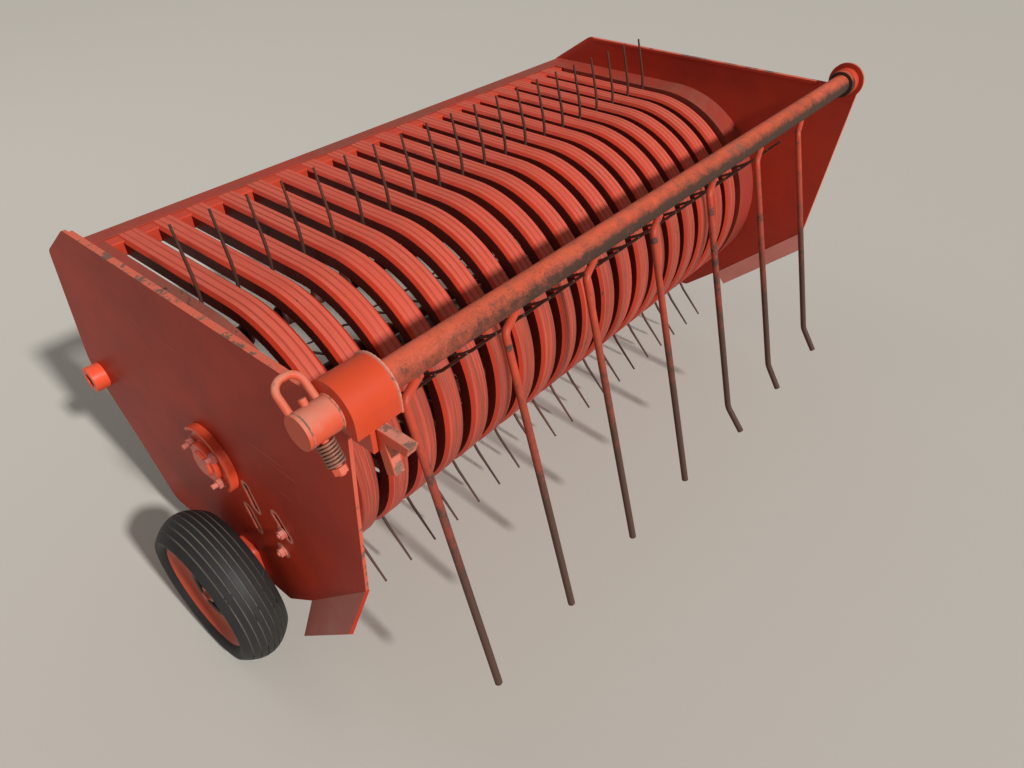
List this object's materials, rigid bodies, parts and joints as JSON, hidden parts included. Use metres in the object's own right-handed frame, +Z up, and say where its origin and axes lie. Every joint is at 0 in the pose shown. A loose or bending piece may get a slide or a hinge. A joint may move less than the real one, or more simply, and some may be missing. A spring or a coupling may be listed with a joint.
{
  "type": "hay pickup header for a small square baler",
  "caption": "Hay pickup header of a small square baler: tined reel in pressed stripper bands, two side plates, a gauge wheel and a swinging wind guard of round rods.",
  "frame": {"origin": "on the axis of the left side plate's pivot bore, at the plate's outer face", "axes": "+X across the header from the left plate to the right plate, -Y the way it travels, +Z up"},
  "size_m": [1.702, 1.1122, 0.8518],
  "materials": {
    "red_paint": "worn orange-red enamel, semi-gloss, scratched along the edges",
    "dusty_paint": "the same enamel under chaff dust",
    "worn_paint": "enamel worn through to brown steel",
    "rim_paint": "dull red enamel with rust",
    "spring_wire": "dark rusty spring wire",
    "bare_steel": "dull worn steel",
    "tyre_rubber": "dusty black rubber"
  },
  "bodies": {
    "header": {"left_side_plate": "red_paint", "right_side_plate": "red_paint", "stripper_bands": "red_paint", "left_end_shield": "dusty_paint", "right_end_shield": "dusty_paint", "upper_rear_beam": "red_paint", "lower_rear_beam": "red_paint", "rear_deck": "dusty_paint", "left_pivot_boss": "red_paint", "right_pivot_boss": "red_paint", "left_bearing": "red_paint", "right_bearing": "red_paint", "left_bearing_ring": "red_paint", "wheel_arm": "red_paint", "wheel_axle": "bare_steel", "guard_saddle": "red_paint", "saddle_foot": "red_paint", "latch_sleeve": "red_paint", "latch_pin": "red_paint", "latch_spring": "bare_steel", "fork_plate": "worn_paint", "right_guard_bush": "worn_paint"},
    "reel": {"reel_shaft": "bare_steel", "left_reel_spider": "red_paint", "middle_reel_spider": "red_paint", "right_reel_spider": "red_paint", "tine_bars": "red_paint", "spring_tines_row_1": "spring_wire", "spring_tines_row_2": "spring_wire", "spring_tines_row_3": "spring_wire", "spring_tines_row_4": "spring_wire", "reel_sprocket": "bare_steel"},
    "gauge_wheel": {"wheel_tyre": "tyre_rubber", "wheel_rim": "rim_paint", "wheel_hub": "rim_paint"},
    "wind_guard": {"guard_tube": "worn_paint", "guard_collar": "worn_paint", "guard_rods": "worn_paint"}
  },
  "joints": [
    {"name": "reel_spin", "type": "hinge", "parent": "header", "child": "reel", "pos_m": [0, -0.44, 0.035], "axis": [1, 0, 0], "continuous": true},
    {"name": "gauge_wheel_spin", "type": "hinge", "parent": "header", "child": "gauge_wheel", "pos_m": [-0.078, -0.447, -0.251], "axis": [1, 0, 0], "continuous": true},
    {"name": "wind_guard_swing", "type": "hinge", "parent": "header", "child": "wind_guard", "pos_m": [0, -0.877, 0.388], "axis": [-1, 0, 0], "range_deg": [-8, 75]}
  ]
}
